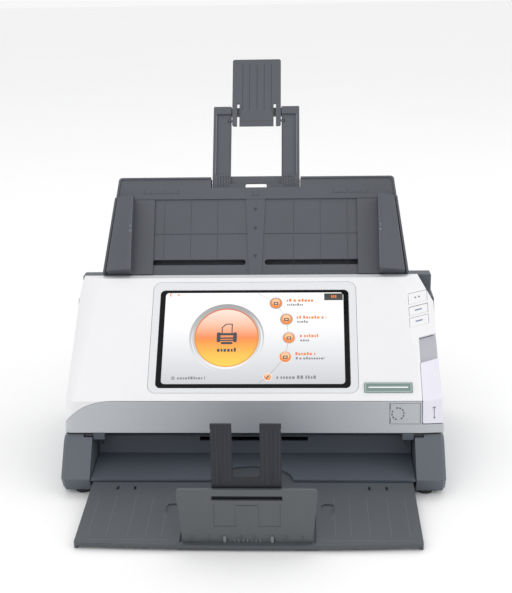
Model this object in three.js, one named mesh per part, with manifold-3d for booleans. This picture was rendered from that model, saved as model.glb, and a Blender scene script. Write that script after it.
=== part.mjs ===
// Sheet fed document scanner: a lower housing, a front cover that swings forward, a feed path
// between them, a paper tray above it and a paper stop tray below it.
// Millimetres. X to the right, Y to the back, Z up. The pieces are placed from the point on the desk
// under the middle of the lower housing's foremost line; the finished group is then moved back so
// that its origin is on the desk, in the middle of its whole footprint.
import * as THREE from 'three';
import { mergeVertices } from 'three/addons/utils/BufferGeometryUtils.js';
import Module from 'manifold-3d';

const wasm = await Module();
wasm.setup();

// ---- driving dimensions ----
const bodyWidth = 316;
const bodyDepth = 183;
const wall = 2.5;
const gap = 0.3;

const footHeight = 2.9;
const footRadius = 7.3;
const cheekWidth = 24.5;
const cheekBevel = 2.6;
const ridgeHeight = 16;
const cheekTop = 45.5;
const cheekTopFront = 20.5;
const bottomPlate = 2.5;

const coverHeight = 155;
const coverFront = 29.1;
const faceAngle = 44.75;
const lipBottom = 47;
const lipTop = 73.1;
const lipFront = 24.2;
const endRadius = 22;
const endRadiusLow = 6;
const facetTurn = 0.72;
const facetTurnLow = 0.08;
const facetFoot = 54.6;
const facetFull = 98;
const facetReach = 19.5;
const facetDrift = 9;
const keySlope = 0.514;

const screenWidth = 154.1;
const screenHeight = 85.9;
const screenRise = 15.7;
const glassBorder = 4.4;
const bezelBorder = 6.5;
const bezelCorner = 7;
const glassCorner = 4;
const badgeWidth = 39.8;
const glassThickness = 1.8;
const panelThickness = 5;

const trayLean = 32.5;
const trayRise = 94.7;
const trayHalfTop = 124.8;
const trayTaper = 0.11;
const trayPlate = 2.5;
const trayRim = 7;
const trayBand = 20.8;
const paperHalf = 109;
const sensorHalf = 112;
const guideHeight = 15;
const guideFoot = 18;
const guideTravel = 78;
const pinionRadius = 6;

const frameHalf = 39.6;
const frameTop = 166.2;
const frameThickness = 6;
const windowHalf = 23.2;
const flapLength = 61.7;
const flapThickness = 2.5;
const flapFingers = 5.2;
const extensionTravel = 54;

const chuteHeight = 56;
const rollerRadius = 9;
const shaftRadius = 3;
const beltThickness = 1.2;
const idlerRadius = 4.5;
const motorRadius = 17;
const motorPulleyRadius = 6;

const outTrayHalf = 131.2;
const outTrayReach = 82;
const outTrayLength = 142;
const outTrayThickness = 3;
const outTrayFrontHeight = 6;
const outTraySlope = 5.2;
const panHalf = 51.5;
const panLength = 58;
const stopHalfBottom = 48.75;
const stopHalfTop = 52.5;
const stopHeight = 45.4;
const stopThickness = 2.6;
const forkHalf = 26;
const forkGap = 10.2;
const forkHeight = 96.5;
const forkThickness = 2;

const deg = Math.PI / 180;
const halfWidth = bodyWidth / 2;
const cavityHalf = halfWidth - cheekWidth;
const facetStart = halfWidth - facetReach;

// ---- materials ----
function paint(colour, roughness, metalness = 0) {
  return new THREE.MeshStandardMaterial({ color: colour, roughness, metalness });
}
const white = paint(0xeef0f2, 0.45);
const coolWhite = paint(0xe6e6f0, 0.45);
const silver = paint(0x9a9fa6, 0.4, 0.1);
const paleGrey = paint(0xd5d7d9, 0.5);
const darkGrey = paint(0x5c6068, 0.6);
const deepGrey = paint(0x3a4047, 0.6);
const stopGrey = paint(0x666a6e, 0.55);
const black = paint(0x0a0b0d, 0.1);
const rubber = paint(0x202224, 0.9);
const greyRubber = paint(0x6d7073, 0.9);
const steel = paint(0xb8babd, 0.3, 0.9);
const boardGreen = paint(0x1f5b3c, 0.5);
const badgeGreen = paint(0x6f8a84, 0.4);
const brass = paint(0xb08d4a, 0.35, 0.9);

// ---- solids ----
function solid(geometry) {
  const bare = geometry.clone();
  bare.deleteAttribute('normal');
  bare.deleteAttribute('uv');
  const merged = mergeVertices(bare, 1e-4);
  const vertProperties = new Float32Array(merged.attributes.position.array);
  const triVerts = new Uint32Array(merged.index.array);
  return new wasm.Manifold(new wasm.Mesh({ numProp: 3, vertProperties, triVerts }));
}

function mesh(name, body, material) {
  const result = body.getMesh();
  const geometry = new THREE.BufferGeometry();
  geometry.setAttribute('position', new THREE.BufferAttribute(result.vertProperties, 3));
  geometry.setIndex(new THREE.BufferAttribute(result.triVerts, 1));
  const flat = geometry.toNonIndexed();
  flat.computeVertexNormals();
  const made = new THREE.Mesh(flat, material);
  made.name = name;
  return made;
}

function boxGeometry(x0, x1, y0, y1, z0, z1) {
  const box = new THREE.BoxGeometry(x1 - x0, y1 - y0, z1 - z0);
  return box.translate((x0 + x1) / 2, (y0 + y1) / 2, (z0 + z1) / 2);
}

function box(x0, x1, y0, y1, z0, z1) {
  return solid(boxGeometry(x0, x1, y0, y1, z0, z1));
}

function shapeOf(points) {
  return new THREE.Shape(points.map(([a, b]) => new THREE.Vector2(a, b)));
}

function extruded(shape, depth, bevel = 0) {
  return new THREE.ExtrudeGeometry(shape, {
    depth: depth - 2 * bevel,
    bevelEnabled: bevel > 0,
    bevelThickness: bevel,
    bevelSize: bevel,
    bevelOffset: -bevel,
    bevelSegments: 1,
    curveSegments: 8,
  }).translate(0, 0, bevel);
}

// An outline in Y and Z carried along X.
function alongX(points, x0, x1, bevel = 0) {
  const turn = new THREE.Matrix4().set(0, 0, 1, x0, 1, 0, 0, 0, 0, 1, 0, 0, 0, 0, 0, 1);
  return solid(extruded(shapeOf(points), x1 - x0, bevel).applyMatrix4(turn));
}

// An outline in X and Z carried along Y.
function alongY(shape, y0, y1) {
  const turn = new THREE.Matrix4().set(1, 0, 0, 0, 0, 0, -1, y1, 0, 1, 0, 0, 0, 0, 0, 1);
  return solid(extruded(shape, y1 - y0).applyMatrix4(turn));
}

// An outline in X and Y carried along Z, or in any frame's first two directions along its third.
function alongZ(shape, z0, z1, frame = null) {
  const made = extruded(shape, z1 - z0).translate(0, 0, z0);
  return solid(frame ? made.applyMatrix4(frame) : made);
}

function rod(x0, x1, y, z, radius, segments = 24) {
  const made = new THREE.CylinderGeometry(radius, radius, x1 - x0, segments);
  return solid(made.rotateZ(Math.PI / 2).translate((x0 + x1) / 2, y, z));
}

function ring(x0, x1, y, z, inner, outer, segments = 32) {
  return rod(x0, x1, y, z, outer, segments).subtract(rod(x0 - 1, x1 + 1, y, z, inner, segments));
}

function roundedBox(x0, x1, y0, y1, radius) {
  const shape = new THREE.Shape();
  shape.moveTo(x0 + radius, y0);
  shape.lineTo(x1 - radius, y0);
  shape.absarc(x1 - radius, y0 + radius, radius, -Math.PI / 2, 0);
  shape.absarc(x1 - radius, y1 - radius, radius, 0, Math.PI / 2);
  shape.absarc(x0 + radius, y1 - radius, radius, Math.PI / 2, Math.PI);
  shape.absarc(x0 + radius, y0 + radius, radius, Math.PI, 1.5 * Math.PI);
  return shape;
}

// Closed body through outlines that all have the same number of points. The outlines' plane is X
// and the axis numbered across.
function loft(sections, across = 1) {
  const count = sections[0].length;
  const positions = sections.flat(2);
  const faces = [];
  for (let k = 0; k < sections.length - 1; k += 1) {
    for (let i = 0; i < count; i += 1) {
      const a = k * count + i;
      const b = k * count + (i + 1) % count;
      faces.push(a, b, b + count, a, b + count, a + count);
    }
  }
  const outline = sections[0].map((point) => new THREE.Vector2(point[0], point[across]));
  const last = (sections.length - 1) * count;
  for (const [a, b, c] of THREE.ShapeUtils.triangulateShape(outline, [])) {
    faces.push(a, c, b, last + a, last + b, last + c);
  }
  const geometry = new THREE.BufferGeometry();
  geometry.setAttribute('position', new THREE.Float32BufferAttribute(positions, 3));
  geometry.setIndex(faces);
  return geometry;
}

// ---- frames ----
// Each frame's first direction is X, its second runs along a sloping face and its third stands off it.
function slope(y, z, angle) {
  const group = new THREE.Group();
  group.position.set(0, y, z);
  group.rotation.x = angle * deg;
  group.updateMatrix();
  return group;
}
const facePitch = 1 / Math.tan(faceAngle * deg);
const faceTopY = coverFront + (coverHeight - lipTop) * facePitch;
const faceFrame = slope(coverFront, lipTop, faceAngle);
const slotY = faceTopY + 9.1;
const slotZ = coverHeight - 2.8;
const trayFrame = slope(slotY, slotZ, 90 - trayLean);
const outFrame = slope(-outTrayReach, outTrayFrontHeight, outTraySlope);
const stopHingeY = -outTrayReach + 2.5;
const stopHingeZ = outTrayFrontHeight - 1.8;
const stopFrame = slope(stopHingeY, stopHingeZ, 90);

// A point of the feed path's frame in the object's own Y and Z.
function onPath(along, out) {
  const point = new THREE.Vector3(0, along, out).applyMatrix4(trayFrame.matrix);
  return [point.y, point.z];
}

// Places along the sheet path, counted up from its slot, so all below it are negative.
const pathEnd = -(slotZ - chuteHeight) / Math.cos(trayLean * deg);
const pickAt = -21.3 - rollerRadius;
const feedAt = pickAt - 2 * rollerRadius - 2;
const exitAt = pathEnd + rollerRadius + 7.7;
const lowerSensorAt = feedAt - rollerRadius - 11;
const upperSensorAt = lowerSensorAt - 1;
const pathHalf = 1.2;

// ---- lower housing ----
function cheekOutline() {
  const front = ridgeHeight * 0.45;
  const base = footHeight + gap;
  return [[front, base], [bodyDepth, base], [bodyDepth, cheekTop], [cheekTopFront + 5.5, cheekTop],
    [cheekTopFront, cheekTop - 3.6], [0, ridgeHeight]];
}

const hingeY = lipFront + 0.8;
const hingeZ = cheekTop - 1;
const hingeRadius = 2;

// Both ends of a span on one side of the middle plane, from the distances to it.
function span(side, near, far) {
  return side > 0 ? [near, far] : [-far, -near];
}

function sideHousing(name, side) {
  const inner = cavityHalf + gap;
  const half = box(...span(side, inner, halfWidth + 1), -bodyDepth, 2 * bodyDepth, 0, coverHeight);
  const pocket = box(...span(side, inner + 3, halfWidth - wall), coverFront + 33, bodyDepth - 3,
    footHeight + 3, coverHeight);
  const bore = rod(...span(side, inner - 1, inner + 7.5), hingeY, hingeZ, hingeRadius + gap, 16);
  const full = alongX(cheekOutline(), -halfWidth, halfWidth, cheekBevel);
  return mesh(name, full.intersect(half).subtract(pocket).subtract(bore), darkGrey);
}

function hingePin(name, side) {
  return mesh(name, rod(...span(side, cavityHalf - 9, cavityHalf + 7), hingeY, hingeZ, hingeRadius, 16),
    steel);
}

const socketHeight = 16;
const jackX = 96;
const portsX = 40;

function bottomPan() {
  const base = footHeight + gap;
  const back = bodyDepth - 2.7;
  const top = cheekTop;
  const outline = [[8, base], [bodyDepth, base], [bodyDepth, top], [back, top],
    [back, base + bottomPlate],
    [8, base + bottomPlate]];
  const jackHole = box(jackX - 6, jackX + 6, back - 1, bodyDepth + 1, socketHeight - 6, socketHeight + 6);
  const portHole = box(portsX - 22, portsX + 22, back - 1, bodyDepth + 1, socketHeight - 8,
    socketHeight + 8);
  return mesh('bottom_pan', alongX(outline, -cavityHalf, cavityHalf).subtract(jackHole)
    .subtract(portHole), deepGrey);
}

function powerJack() {
  const front = bodyDepth - 14;
  const body = box(jackX - 6 + gap, jackX + 6 - gap, front, bodyDepth - 0.4, socketHeight - 6 + gap,
    socketHeight + 6 - gap);
  const socket = solid(new THREE.CylinderGeometry(3.2, 3.2, 20, 20)
    .translate(jackX, bodyDepth, socketHeight));
  const pin = solid(new THREE.CylinderGeometry(0.9, 0.9, 11, 12)
    .translate(jackX, bodyDepth - 7, socketHeight));
  return mesh('power_jack', body.subtract(socket).add(pin), black);
}

function portBlock() {
  const front = bodyDepth - 16;
  const body = box(portsX - 22 + gap, portsX + 22 - gap, front, bodyDepth - 0.4, socketHeight - 8 + gap,
    socketHeight + 8 - gap);
  const network = box(portsX - 18, portsX - 5, front + 4, bodyDepth + 1, socketHeight - 5,
    socketHeight + 6);
  const usb = box(portsX + 4, portsX + 17, front + 4, bodyDepth + 1, socketHeight - 3,
    socketHeight + 2.6);
  return mesh('port_block', body.subtract(network).subtract(usb), steel);
}

function foot(name, x, y) {
  const pad = solid(new THREE.CylinderGeometry(footRadius, footRadius - 0.6, footHeight, 24)
    .rotateX(Math.PI / 2).translate(x, y, footHeight / 2));
  return mesh(name, pad, rubber);
}

const outSlope = Math.tan(outTraySlope * deg);
const deckRise = 10.5;

// Height of the sheet exit floor above the desk at a depth y.
function deckTop(y) {
  return outTrayFrontHeight + (y + outTrayReach) * outSlope + 2.5;
}

function outputDeck() {
  const front = 1;
  const rear = 43;
  const [chuteY, chuteZ] = onPath(pathEnd, -pathHalf);
  const upper = [[front, deckTop(front)], [rear, deckTop(rear)], [rear + 2, deckTop(rear) + 15],
    [chuteY - 3.7, deckTop(rear) + 25.2], [chuteY, chuteZ]];
  const lower = [[chuteY + 2, chuteZ - 0.9], [chuteY - 2, deckTop(rear) + 23.8],
    [rear + 4, deckTop(rear) + 13.7],
    [rear + 2, deckTop(rear + 2) - 2], [front, deckTop(front) - 2]];
  const plate = alongX([...lower.reverse(), ...upper.reverse()], -cavityHalf + gap, cavityHalf - gap);
  const arch = new THREE.Shape();
  arch.absellipse(0, front, 34, 22.5, 0, 2 * Math.PI);
  const slot = box(-46, 46, rear - 4, rear + 6, deckTop(rear) + deckRise, deckTop(rear) + deckRise + 3.5);
  return mesh('output_deck', plate.subtract(alongZ(arch, 0, coverHeight / 4)).subtract(slot), deepGrey);
}

// ---- rear housing and feed parts ----
const rearBase = cheekTop + 1;
const shelf = 1.5;

function rearOutline(inset, forward) {
  const [pocketY, pocketZ] = onPath(-17.5, -pathHalf - 0.4);
  const footY = onPath((rearBase - slotZ) / Math.cos(trayLean * deg), -pathHalf - 0.4)[0] + 9;
  const back = bodyDepth - inset;
  const top = coverHeight - 5 - inset;
  const roof = pocketZ - Math.min(inset, shelf);
  const [noseY, noseZ] = onPath((rearBase + 12 - slotZ) / Math.cos(trayLean * deg), -pathHalf - 0.4);
  return [[footY - forward, rearBase + inset], [back, rearBase + inset], [back, top - 38],
    [back - 7, top - 26],
    [slotY + 29, top], [slotY + 16.5 + inset, top], [slotY + 16.5 + inset, roof], [pocketY - forward,
      roof],
    [noseY - forward, noseZ]];
}

function rearHousing() {
  const half = halfWidth - 1;
  let body = alongX(rearOutline(0, 0), -half, half)
    .subtract(alongX(rearOutline(wall, 20), -half + wall, half - wall));
  for (let i = -5; i <= 5; i += 1) {
    body = body.subtract(box(i * 9 - 1.5, i * 9 + 1.5, bodyDepth - 5, bodyDepth + 1, 66, 92));
  }
  return mesh('rear_housing', body, darkGrey);
}

const bossAlong = -3.7;
const bossOut = -5.8;
const bossRadius = 3;

function trayBracket(name, side) {
  const near = trayHalfTop + 11.6;
  const base = coverHeight - 18;
  const top = coverHeight - 2.5;
  const [pinY, pinZ] = onPath(bossAlong, bossOut);
  const outline = [[pinY - 4.8, base], [pinY + 7, base], [pinY + 7, top], [pinY + 1, top],
    [pinY - 4.8, pinZ]];
  const block = alongX(outline, ...span(side, near, near + 6));
  return mesh(name, block.subtract(rod(-halfWidth, halfWidth, pinY, pinZ, bossRadius + gap, 20)),
    darkGrey);
}

function feedPlate() {
  const half = chassisAt + 14;
  let plate = box(-half, half, pathEnd + 3, pickAt + rollerRadius + 1.2, -pathHalf - 2, -pathHalf);
  for (const [at, reach] of [[pickAt, 20], [feedAt, 50], [exitAt, 50]]) {
    plate = plate.subtract(box(-reach, reach, at - rollerRadius + 1, at + rollerRadius - 1, -4, 0));
  }
  const window = box(-sensorHalf + 2, sensorHalf - 2, lowerSensorAt - 5, lowerSensorAt + 5, -4, 0);
  return mesh('feed_plate', plate.subtract(window), deepGrey);
}

function lowerSensor() {
  return mesh('lower_image_sensor',
    box(-sensorHalf, sensorHalf, lowerSensorAt - 7, lowerSensorAt + 7, -15, -pathHalf - 2 - gap), black);
}

function lowerGlass() {
  return mesh('lower_sensor_glass',
    box(-sensorHalf + 2 + gap, sensorHalf - 2 - gap, lowerSensorAt - 5 + gap,
    lowerSensorAt + 5 - gap, -pathHalf - 1.9, -pathHalf), black);
}

const chassisAt = cavityHalf - 4;
const pulleyNear = -chassisAt - 16;
const pulleyRadius = 8;
const motorAlong = (pickAt + exitAt) / 2 - 2.2;
const motorOut = -52;

function shaftHoles(plate) {
  let body = plate;
  for (const at of [pickAt, feedAt, exitAt]) {
    body = body.subtract(rod(-halfWidth, halfWidth, at, -rollerRadius, shaftRadius + 0.4, 20));
  }
  return body.subtract(rod(-halfWidth, halfWidth, motorAlong, motorOut, shaftRadius + 1, 20));
}

function chassisPlate(name, side) {
  const edge = -pathHalf - 2 - gap;
  const outline = [[pickAt + 7, edge], [pickAt + 7, -17], [motorAlong + 14, motorOut - 14],
    [motorAlong - 12, motorOut - 14],
    [pathEnd + 8, -22], [pathEnd + 8, edge]];
  return mesh(name, shaftHoles(alongX(outline, ...span(side, chassisAt, chassisAt + 1.5))), steel);
}

function rollerShaft(name, at, reach) {
  const left = pulleyNear - 7;
  const shaft = rod(left, reach, at, -rollerRadius, shaftRadius)
    .add(rod(pulleyNear - 6, pulleyNear, at, -rollerRadius, pulleyRadius, 32));
  return mesh(name, shaft, steel);
}

function tyre(name, at, half) {
  return mesh(name, ring(-half, half, at, -rollerRadius, shaftRadius + 0.05, rollerRadius - 0.1),
    greyRubber);
}

function driveMotor() {
  const body = rod(-chassisAt + gap, -chassisAt + 34, motorAlong, motorOut, motorRadius, 32)
    .subtract(rod(-chassisAt - 1, -chassisAt + 10, motorAlong, motorOut, 3.6, 20));
  return mesh('drive_motor', body, steel);
}

function motorPulley() {
  const pulley = rod(pulleyNear - 6, -chassisAt + 9, motorAlong, motorOut, 2.5, 20)
    .add(rod(pulleyNear - 6, pulleyNear, motorAlong, motorOut, motorPulleyRadius, 28));
  return mesh('motor_pulley', pulley, brass);
}

function hullOfCircles(circles) {
  const steps = 36;
  const points = [];
  for (const [a, b, radius] of circles) {
    for (let i = 0; i < steps; i += 1) {
      const angle = 2 * Math.PI * i / steps;
      points.push([a + radius * Math.cos(angle), b + radius * Math.sin(angle)]);
    }
  }
  points.sort((p, q) => p[0] - q[0] || p[1] - q[1]);
  const turn = (o, p, q) => (p[0] - o[0]) * (q[1] - o[1]) - (p[1] - o[1]) * (q[0] - o[0]);
  const half = (list) => {
    const chain = [];
    for (const point of list) {
      while (chain.length > 1 && turn(chain.at(-2), chain.at(-1), point) <= 1e-9) chain.pop();
      chain.push(point);
    }
    return chain.slice(0, -1);
  };
  return [...half(points), ...half([...points].reverse())];
}

function driveBelt() {
  const circles = (extra) => [
    [pickAt, -rollerRadius, pulleyRadius + extra],
    [exitAt, -rollerRadius, pulleyRadius + extra],
    [motorAlong, motorOut, motorPulleyRadius + extra],
  ];
  const outer = alongX(hullOfCircles(circles(gap + beltThickness)), pulleyNear - 5, pulleyNear - 1);
  const inner = alongX(hullOfCircles(circles(gap)), pulleyNear - 6, pulleyNear);
  return mesh('drive_belt', outer.subtract(inner), rubber);
}

function mainBoard() {
  const y = bodyDepth - 17;
  const board = box(-75, 90, y, y + 1.6, cheekTop + 8, coverHeight - 46);
  const chips = box(-30, -8, y - 2.5, y + 0.5, 72, 94).add(box(20, 60, y - 7, y + 0.5, 58, 66));
  return mesh('main_board', board.add(chips), boardGreen);
}

// ---- front cover ----
function coverSection(z, inset) {
  const upper = z > lipTop;
  const front = upper ? coverFront + (z - lipTop) * facePitch : coverFront - (lipTop - z) * lipPitch;
  const pitch = upper ? facePitch : lipPitch;
  const y = front + inset * Math.hypot(1, pitch);
  const half = halfWidth - 0.5 - 2 * (z - lipBottom) / (coverHeight - lipBottom) - inset;
  const bend = facetStart - (upper ? facetDrift * (z - lipTop) / (coverHeight - lipTop) : 0) - inset / 3;
  const radius = endRadiusLow + (endRadius - endRadiusLow) * Math.max(0,
    z - lipBottom) / (coverHeight - lipBottom) - inset;
  const opened = Math.min(1, Math.max(0, z - facetFoot) / (facetFull - facetFoot));
  const turn = facetTurnLow + (facetTurn - facetTurnLow) * opened;
  const back = bodyDepth + 40;
  const steps = 10;
  const points = [[half, back, z], [-half, back, z]];
  for (let i = 0; i <= steps; i += 1) {
    const angle = Math.PI + (Math.PI / 2) * i / steps;
    points.push([-half + radius + radius * Math.cos(angle), y + radius + radius * Math.sin(angle), z]);
  }
  points.push([bend, y, z], [half, y + (half - bend) * turn, z]);
  return points;
}
const lipPitch = (coverFront - lipFront) / (lipTop - lipBottom);

function coverBody(inset) {
  const bottom = inset > 0 ? lipBottom - 5 : lipBottom;
  const levels = [bottom, facetFoot, lipTop - 1e-6, facetFull, coverHeight - inset];
  return solid(loft(levels.map((z) => coverSection(z, inset))));
}

function behindPath(offset, from) {
  return [onPath(from, offset), onPath(pathEnd - 60, offset), [3 * bodyDepth, -60],
    [3 * bodyDepth, 3 * coverHeight]];
}

function coverShell() {
  const back = alongX(behindPath(pathHalf, 60), -halfWidth - 1, halfWidth + 1);
  return coverBody(0).subtract(coverBody(wall)).subtract(back);
}

// The lip's upper edge: level along the front, running down round the left end.
function lipShape(grow) {
  const shape = new THREE.Shape();
  const drop = lipBottom + 7;
  shape.moveTo(-halfWidth - 5, lipBottom - 5);
  shape.lineTo(halfWidth + 5, lipBottom - 5);
  shape.lineTo(halfWidth + 5, drop + grow);
  shape.lineTo(facetStart + 1.2 + grow, drop + grow);
  shape.lineTo(facetStart + 1.2 + grow, lipTop + grow);
  shape.lineTo(-117, lipTop + grow);
  shape.quadraticCurveTo(-143, lipTop + grow, -halfWidth + 0.4, drop + grow);
  shape.lineTo(-halfWidth - 5, drop - 5 + grow);
  return shape;
}

function keyShape(low, high, shrink) {
  const left = facetStart - 5.6 + shrink;
  const right = facetStart + 12 - shrink;
  const rise = keySlope * (right - left);
  return shapeOf([[left, low + shrink], [right, low + rise + shrink], [right, high + rise - shrink],
    [left, high - shrink]]);
}

function leverShape(low, high, shrink) {
  const left = facetStart + 1.9 + shrink;
  const right = halfWidth + 6;
  const rise = keySlope * (right - left);
  return shapeOf([[left, low + shrink], [right, low + rise + shrink], [right, high + rise - shrink],
    [left, high - shrink]]);
}

const keys = [['scan_key', 89.5, 100.5], ['mode_key', 78.2, 87.2], ['send_key', 67.3, 76.3]];
const leverLow = 35.8;
const leverHigh = 59.7;
const leverSink = 3;

function inFace(shape, h0, h1) {
  return alongZ(shape, h0, h1, faceFrame.matrix);
}

const bezelHalf = screenWidth / 2 + glassBorder + bezelBorder;
const bezelLow = screenRise - glassBorder / 1.2 - 4.5;
const bezelHigh = screenRise + screenHeight + glassBorder / 1.8 + 7.9;

function bezelOpening(grow) {
  return roundedBox(-bezelHalf - grow, bezelHalf + grow, bezelLow - grow, bezelHigh + grow,
    bezelCorner + grow);
}

// The right end's region from a height up to the release lever's lower edge.
function stripRegion(from, grow) {
  const left = facetStart + 1.7 - grow;
  const right = halfWidth + 5;
  const edge = (x) => leverLow + keySlope * (x - facetStart - 1.9) + grow / 2;
  const below = shapeOf([[left, -60], [right, -60], [right, edge(right)], [left, edge(left)]]);
  return box(left, right, -bodyDepth, 2 * bodyDepth, from, coverHeight).intersect(inFace(below, -60, 30));
}

function frontCover(shell) {
  const strip = stripRegion(lipBottom, gap);
  let body = shell.subtract(alongY(lipShape(gap), -bodyDepth, 2 * bodyDepth)).subtract(strip);
  body = body.subtract(inFace(bezelOpening(gap), -wall - 1, 3));
  for (const [, low, high] of keys) {
    body = body.subtract(inFace(keyShape(low, high, 0), -16, 4));
  }
  return mesh('front_cover', body.subtract(inFace(leverShape(leverLow, leverHigh, 0), -17, 4)), white);
}

function lipTrim(shell) {
  const trim = shell.intersect(alongY(lipShape(0), -bodyDepth, 2 * bodyDepth));
  return mesh('lip_trim', trim.subtract(iconBox(gap)), silver);
}

function iconBox(grow) {
  return box(facetStart - 25.2 - grow, facetStart - 0.4 + grow, -bodyDepth, coverFront + 12,
    lipBottom + 7.6 - grow, lipTop - 1.8 + grow);
}

function iconPanel(shell) {
  return mesh('icon_panel', shell.intersect(iconBox(0)), silver);
}

function sideStrip(shell) {
  return mesh('side_strip', shell.intersect(stripRegion(lipBottom + 7 + gap + 0.3, 0)), coolWhite);
}

function key(shell, [name, low, high]) {
  return mesh(name, shell.intersect(inFace(keyShape(low, high, gap), -16, 4)), white);
}

function releaseLever(shell) {
  const cap = inFace(leverShape(leverLow, leverHigh, gap), -11, 4);
  const made = mesh('cover_release_lever', shell.intersect(cap), coolWhite);
  const out = new THREE.Vector3(0, 0, 1).applyEuler(faceFrame.rotation);
  made.position.copy(out.multiplyScalar(-leverSink));
  return made;
}

const glassHalf = screenWidth / 2 + glassBorder;
const glassLow = screenRise - glassBorder * 0.8;
const glassHigh = screenRise + screenHeight + glassBorder * 0.55;

function displayBezel() {
  const frame = alongZ(bezelOpening(0), -2.2, 0)
    .subtract(alongZ(roundedBox(-glassHalf - gap, glassHalf + gap, glassLow - gap, glassHigh + gap,
      glassCorner + gap), -4, 1));
  return mesh('display_bezel', frame, paleGrey);
}

function displayGlass() {
  const pane = alongZ(roundedBox(-glassHalf, glassHalf, glassLow, glassHigh, glassCorner),
    -glassThickness - 0.2, -0.2);
  return mesh('display_glass', pane, black);
}

function displayPanel() {
  return mesh('display_panel', box(-glassHalf - 2, glassHalf + 2, glassLow - 2, glassHigh + 2,
    -2.2 - gap - panelThickness, -2.2 - gap), steel);
}

function badgePlate() {
  const right = facetStart - 6.1;
  const plate = alongZ(roundedBox(right - badgeWidth, right, screenRise - 8, screenRise + 0.8, 0.6), gap,
    gap + 0.7);
  return mesh('badge_plate', plate, badgeGreen);
}

// Inner wall of the front cover on the sheet's front side, with the hinge lugs.
function guidePlate() {
  const low = lipBottom + gap;
  const [turnY, turnZ] = onPath((low + 2 - slotZ) / Math.cos(trayLean * deg), pathHalf);
  const outline = [onPath(-12, pathHalf), [turnY, turnZ], [turnY - 1.3, low], [lipFront + 3.7, low],
    [lipFront + 3.7, low + 2],
    [turnY - 2.4, low + 2], onPath(-12, pathHalf + 2)];
  const half = cavityHalf + 1;
  const lug = [[hingeY - 2.9, hingeZ - 2.7], [hingeY + 9, hingeZ - 2.7], [hingeY + 9, low + 1],
    [hingeY + 3, low + 1],
    [hingeY + 3, lipBottom - gap], [hingeY - 2.9, lipBottom - gap]];
  const rib = [[hingeY + 3, low], [hingeY + 1, hingeZ - 2], [hingeY + 10, hingeZ - 13],
    [hingeY + 12, hingeZ - 13],
    [hingeY + 12, low]];
  let body = alongX(outline, -half, half);
  for (const side of [-1, 1]) {
    body = body.add(alongX(lug, ...span(side, cavityHalf - 10, cavityHalf - 0.8)));
    body = body.add(alongX(rib, ...span(side, cavityHalf - 6, cavityHalf - 4.5)));
  }
  body = body.subtract(rod(-cavityHalf - 5, cavityHalf + 5, hingeY, hingeZ, hingeRadius + gap, 16));
  return body;
}

function coverGuide() {
  const inverse = (geometry) => solid(geometry.applyMatrix4(trayFrame.matrix));
  let body = guidePlate();
  const holes = [
    [-18, 18, pickAt + 2 - 7, pickAt + 2 + 7],
    [-46, 46, feedAt - idlerRadius - 0.6, feedAt + idlerRadius + 0.6],
    [-46, 46, exitAt - idlerRadius - 0.6, exitAt + idlerRadius + 0.6],
    [-sensorHalf + 2, sensorHalf - 2, upperSensorAt - 5, upperSensorAt + 5],
  ];
  for (const [x0, x1, a0, a1] of holes) {
    body = body.subtract(inverse(boxGeometry(x0, x1, a0, a1, 0, 4)));
  }
  return mesh('cover_guide_plate', body, deepGrey);
}

function upperSensor() {
  return mesh('upper_image_sensor', box(-sensorHalf, sensorHalf, upperSensorAt - 7, upperSensorAt + 7,
    pathHalf + 2 + gap, 14), black);
}

function upperGlass() {
  return mesh('upper_sensor_glass',
    box(-sensorHalf + 2 + gap, sensorHalf - 2 - gap, upperSensorAt - 5 + gap,
    upperSensorAt + 5 - gap, pathHalf, pathHalf + 1.9), black);
}

function separationPad() {
  return mesh('separation_pad', box(-16, 16, pickAt + 2 - 5, pickAt + 2 + 5, 0.4, 3.4), rubber);
}

function idler(name, at) {
  const out = idlerRadius + gap;
  const body = rod(-50, 50, at, out, 1.5, 16).add(rod(-42, -14, at, out, idlerRadius))
    .add(rod(14, 42, at, out, idlerRadius));
  return mesh(name, body, rubber);
}

// ---- paper tray ----
function trayHalf(along) {
  return trayHalfTop + (trayRise - along) * trayTaper;
}

function trayOutline(low, high, inset, corner) {
  const shape = new THREE.Shape();
  const bottom = trayHalf(low) - inset;
  const top = trayHalf(high) - inset;
  shape.moveTo(-bottom, low);
  shape.lineTo(bottom, low);
  shape.lineTo(top, high - corner);
  shape.quadraticCurveTo(top, high, top - corner, high);
  shape.lineTo(-top + corner, high);
  shape.quadraticCurveTo(-top, high, -top, high - corner);
  return shape;
}

const slotLow = 12.1;
const slotHigh = 17.2;
const rackThickness = 2.6;

function centreStripe() {
  return shapeOf([[-5.3, -4], [5.3, -4], [8.8, trayRise - trayBand], [-8.8, trayRise - trayBand]]);
}

// Room in front of the sheet path for the front cover's top edge as it swings about its hinge.
function coverClearance() {
  const lean = trayLean * deg;
  const edgeAlong = (coverHeight - slotZ - pathHalf * Math.sin(lean)) / Math.cos(lean);
  const [edgeY, edgeZ] = onPath(edgeAlong, pathHalf);
  const radius = Math.hypot(edgeY - hingeY, edgeZ - hingeZ) + 0.6;
  const centreAlong = (hingeY - slotY) * Math.sin(lean) + (hingeZ - slotZ) * Math.cos(lean);
  const centreOut = (hingeZ - slotZ) * Math.sin(lean) - (hingeY - slotY) * Math.cos(lean);
  const reach = 30;
  const steps = 12;
  const points = [[-reach, reach], [-reach, 0]];
  for (let i = 0; i <= steps; i += 1) {
    const out = reach * i / steps;
    points.push([centreAlong + Math.sqrt(radius ** 2 - (out - centreOut) ** 2), out]);
  }
  return alongX(points, -halfWidth, halfWidth);
}

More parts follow.
